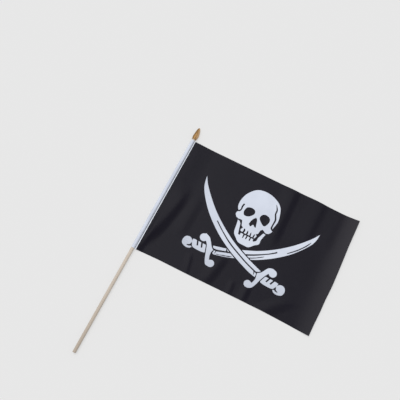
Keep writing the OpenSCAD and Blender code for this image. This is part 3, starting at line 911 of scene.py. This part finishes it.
# Where their tones change, in the frame's millimetres: along X on the cloth, along Y at a foot or a butt
FIELD_START = (FIELD_X0 + 0.5, FIELD_X0 + 1.5)
# Where the painted shade of the seam's crease lies
SEAM_SHADE_BAND = (SEAM_X - 1.6, SEAM_X - 0.1, SEAM_X + 0.2, SEAM_X + 0.8)
# Where the margin's painted light lies
MARGIN_BAND = (SEAM_X + 0.4, SEAM_X + 1.0, *FIELD_START)
# Where the painted shade toward the hoist and toward the foot fades out
FALLOFF_NEAR = (FIELD_X0 + 55, FIELD_X0 + 130)
FALLOFF_FOOT = (FLAG_Y0 + 35, FLAG_Y0 + 115)
# Where the painted sheen along the fly comes in
SHEEN_FLY = (FIELD_X0 + 375, FIELD_X0 + 450)
WORN_BUTT = (-40, 260)
# The tip's painted highlight along its flank starts at the socket, and its edge moves over toward the point
# by so much
FLANK_START = (TIP_Y - 8, TIP_Y + 10)
FLANK_EDGE = (3.9, 6.1)
FLANK_MOVES = (TIP_Y + 12, TIP_Y + 38)
FLANK_MOVE = 5.3

WEAVE_PITCH = 0.42


def weave(finish):
    """Height of a plain weave: threads along X and Y that pass over and under each other."""
    x, y, _ = finish.axes(finish.place())
    over = (x * (math.pi / WEAVE_PITCH)).sine() * (y * (math.pi / WEAVE_PITCH)).sine()
    warp = (x * (2 * math.pi / WEAVE_PITCH)).sine()
    weft = (y * (2 * math.pi / WEAVE_PITCH)).sine()
    return over * 0.5 + warp * 0.25 + weft * 0.25


def cloth_finish(name, light, dark, roughness, gloss):
    """Woven polyester with a weave that shows close up, and its own faintly uneven tone."""
    finish = Finish(name, Roughness=roughness, Specular_IOR_Level=gloss)
    at = finish.place()
    blotch = finish.noise(at, scale=0.012, detail=3.0).clipped(0.35, 0.65)
    streak = finish.noise(finish.place((1, 0.08, 1)), scale=0.9)
    tone = finish.mix(blotch * 0.6 + streak * 0.4, dark, light)
    crinkle = finish.noise(at, scale=0.35, detail=3.0)
    finish.bump(weave(finish) * 0.5 + crinkle * 0.5, distance=0.06, strength=0.6)
    return finish, tone


def white_cloth():
    """Undyed polyester, whitened with painted light in the margin beside the tube, darkened with painted
    shade in the seam's crease and at each stitch's pucker, and darkened with painted shade toward the foot
    and the hoist."""
    finish, tone = cloth_finish("white_polyester", CLOTH_LIGHT, CLOTH_DARK, roughness=0.6, gloss=0.3)
    x, y, _ = finish.axes(finish.place())
    # Painted shade of the seam's crease, deeper at each stitch's pucker, in step with the stitches
    hole_y = stitch_row()[1] + STITCH_PITCH / 4
    hole = ((y - hole_y) * (2 * math.pi / STITCH_PITCH)).sine()
    # Painted shade that darkens the white toward the foot and near the hoist
    painted_falloff = (1 - y.clipped(*FALLOFF_FOOT)) * 0.6 + (1 - x.clipped(*FALLOFF_NEAR)) * 0.45
    plain = finish.mix(painted_falloff * x.clipped(*FIELD_START), tone, CLOTH_SHADED)
    # Painted light that whitens the margin beside the tube
    margin_lit = finish.mix(x.band(*MARGIN_BAND), plain, MARGIN_PAINTED_LIGHT)
    # Painted shade of the seam's crease and of the stitches' puckers
    finish.set(Base_Color=finish.mix(x.band(*SEAM_SHADE_BAND) * (hole * 0.14 + 0.6), margin_lit, SEAM_SHADE_GREY))
    return finish.material


def black_dye():
    """Dye of the printed face, made lighter along the fly with a painted sheen."""
    finish, tone = cloth_finish("black_dye", DYE_LIGHT, DYE_DARK, roughness=0.36, gloss=0.098)
    x, y, _ = finish.axes(finish.place())
    # Painted sheen, lighter toward the fly and stronger toward the head
    painted_sheen = x.clipped(*SHEEN_FLY) * (y.clipped(FLAG_Y0, FLAG_Y0 + FLAG_H) * 0.4 + 0.55)
    finish.set(Base_Color=finish.mix(painted_sheen, tone, DYE_SHEEN))
    return finish.material


def back_dye():
    """The same dye where it has come through to the back, weaker."""
    finish, tone = cloth_finish("back_dye", BACK_LIGHT, BACK_DARK, roughness=0.55, gloss=0.25)
    finish.set(Base_Color=tone)
    return finish.material


def wood_finish():
    """Pale dowel, a little darker and greyer toward the butt."""
    finish = Finish("pale_wood", Specular_IOR_Level=0.3)
    grain = finish.noise(finish.place((1, 0.018, 1)), scale=1.6, detail=4.0, roughness=0.6, distortion=0.4)
    pores = finish.noise(finish.place((1, 0.05, 1)), scale=6.0).clipped(0.58, 0.72)
    blotch = finish.noise(finish.place(), scale=0.012)
    tone = (grain * 0.75 + blotch * 0.25).clipped(0.3, 0.7)
    up = finish.axes(finish.place())[1].clipped(*WORN_BUTT)
    fresh = finish.mix(tone, WOOD_DARK, WOOD_LIGHT)
    wear_and_highlight = finish.mix(tone, BUTT_DARK, BUTT_LIGHT)
    finish.set(Base_Color=finish.mix(pores * 0.35, finish.mix(up, wear_and_highlight, fresh), PORE_BROWN))
    finish.set(Roughness=tone * 0.15 + 0.55)
    finish.bump(grain * 0.7 + pores * -0.3, distance=0.08, strength=0.5)
    return finish.material


def gold_finish():
    """Dull gold paint, with a painted highlight paler along one flank."""
    finish = Finish("gold_paint", Metallic=0.55, Specular_IOR_Level=0.35)
    flow = finish.noise(finish.place((1, 0.22, 1)), scale=1.1, detail=4.0, roughness=0.6)
    speck = finish.noise(finish.place(), scale=6.0)
    gold = finish.mix(flow.clipped(0.3, 0.7), GOLD_DARK, GOLD_LIGHT)
    x, y, _ = finish.axes(finish.place())
    # Painted highlight along the flank toward the fly
    flank = x + flow * 0.8 + y.clipped(*FLANK_MOVES) * FLANK_MOVE
    wear_and_highlight = flank.clipped(*FLANK_EDGE) * y.clipped(*FLANK_START)
    finish.set(Base_Color=finish.mix(wear_and_highlight * 0.8, gold, GOLD_HIGHLIGHT))
    finish.set(Roughness=speck * 0.14 + 0.34)
    finish.bump(flow * 0.6 + speck * 0.4, distance=0.06, strength=0.5)
    return finish.material


def thread_finish():
    finish = Finish("white_thread", Roughness=0.6, Sheen_Weight=0.2)
    sockets = {"Vector": finish.place(), "Scale": 3.0}
    twist = finish.node("ShaderNodeTexWave", {"bands_direction": "DIAGONAL"}, sockets)
    finish.set(Base_Color=finish.mix(twist, THREAD_DARK, THREAD_LIGHT))
    finish.bump(twist, distance=0.03, strength=0.5)
    return finish.material


# Stage, with the floor and the camera in metres
BACKDROP = (*linear(230, 230, 230), 1)
SKY_STRENGTH = 0.57
SUN_STRENGTH = 1.6
SUN_WIDTH = math.radians(50)
SUN_TURN = (math.radians(23), 0.0, math.radians(232))
FLOOR_HALF = 3.0
FLOOR_GAP = 0.0002
FLOOR_GLOW = 0.65
CAMERA_SENSOR = 36.0
CAMERA_LENS = 54.0
CAMERA_PLACE = (0.24436, 0.03612, 1.36416)
CAMERA_TURN = [math.radians(angle) for angle in (17.5916, -1.7871, 27.0169)]


def pale_where_seen(nodes, plain, seen):
    """A plain shader mixed with another one, which the camera, glossy and clear surfaces see."""
    rays = nodes.node("ShaderNodeLightPath").socket.node.outputs
    camera, glossy, clear = (
        Value(nodes, rays["Is %s Ray" % kind]) for kind in ("Camera", "Glossy", "Transmission")
    )
    either = camera.larger(glossy).larger(clear)
    return nodes.node("ShaderNodeMixShader", None, {0: either, 1: plain, 2: seen})


def make_world():
    world = bpy.data.worlds.new("studio")
    bpy.context.scene.world = world
    world.use_nodes = True
    nodes = Nodes(world.node_tree)
    light = nodes.tree.nodes["Background"]
    light.inputs["Color"].default_value = (1, 1, 1, 1)
    light.inputs["Strength"].default_value = SKY_STRENGTH
    seen = nodes.node("ShaderNodeBackground", None, {"Color": BACKDROP})
    mix = pale_where_seen(nodes, Value(nodes, light.outputs[0]), seen)
    nodes.tree.links.new(mix.socket, nodes.tree.nodes["World Output"].inputs["Surface"])


def make_floor():
    mesh = bpy.data.meshes.new("floor")
    s = FLOOR_HALF
    z = GROUND_Z * MM - FLOOR_GAP
    mesh.from_pydata([(-s, -s, z), (s, -s, z), (s, s, z), (-s, s, z)], [], [(0, 1, 2, 3)])
    floor = bpy.data.objects.new("floor", mesh)
    bpy.context.collection.objects.link(floor)
    paper = Finish("floor_paper", Roughness=1.0, Specular_IOR_Level=0.0, Base_Color=BACKDROP)
    matt = Value(paper, paper.shader.outputs[0])
    glow = paper.node("ShaderNodeEmission", None, {"Color": BACKDROP})
    seen = paper.node("ShaderNodeMixShader", None, {0: FLOOR_GLOW, 1: matt, 2: glow})
    mix = pale_where_seen(paper, matt, seen)
    paper.tree.links.new(mix.socket, paper.tree.nodes["Material Output"].inputs["Surface"])
    mesh.materials.append(paper.material)


def make_sun():
    light = bpy.data.lights.new("window", "SUN")
    light.energy = SUN_STRENGTH
    light.angle = SUN_WIDTH
    sun = bpy.data.objects.new("window", light)
    sun.rotation_euler = SUN_TURN
    bpy.context.collection.objects.link(sun)


def make_camera():
    data = bpy.data.cameras.new("camera")
    data.sensor_width = CAMERA_SENSOR
    data.lens = CAMERA_LENS
    camera = bpy.data.objects.new("camera", data)
    camera.location = CAMERA_PLACE
    camera.rotation_euler = CAMERA_TURN
    bpy.context.collection.objects.link(camera)
    bpy.context.scene.camera = camera


def dress(piece, finish, node):
    """Gives a piece its finish and lets it stand for a node of the frame."""
    piece.data.materials.clear()
    piece.data.materials.append(finish)
    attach(piece, "root")
    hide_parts(node)


make_camera()
make_world()
make_floor()
make_sun()
bpy.context.scene.view_settings.view_transform = "Standard"

plane, triangles, white = field_triangles()
middle, normal = field_layer(plane)
half = CLOTH_T / 2
cloth = shell("flag", *sewn_layer(plane, triangles, middle, normal), -half, half)
face = shell("black_face", middle, normal, triangles[~white], half, half + PRINT_T)
back = shell("black_back", middle, normal, triangles[~white], -half - PRINT_T, -half)
thread = thread_finish()
stitches = make_stitches(thread)

dress(cloth, white_cloth(), "flag_cloth")
dress(face, black_dye(), "face_print")
dress(back, back_dye(), "back_print")
dress(stitches, thread, "seam_thread")
dress(make_dowel(), wood_finish(), "stick")
dress(make_spear_tip(), gold_finish(), "spear_tip")
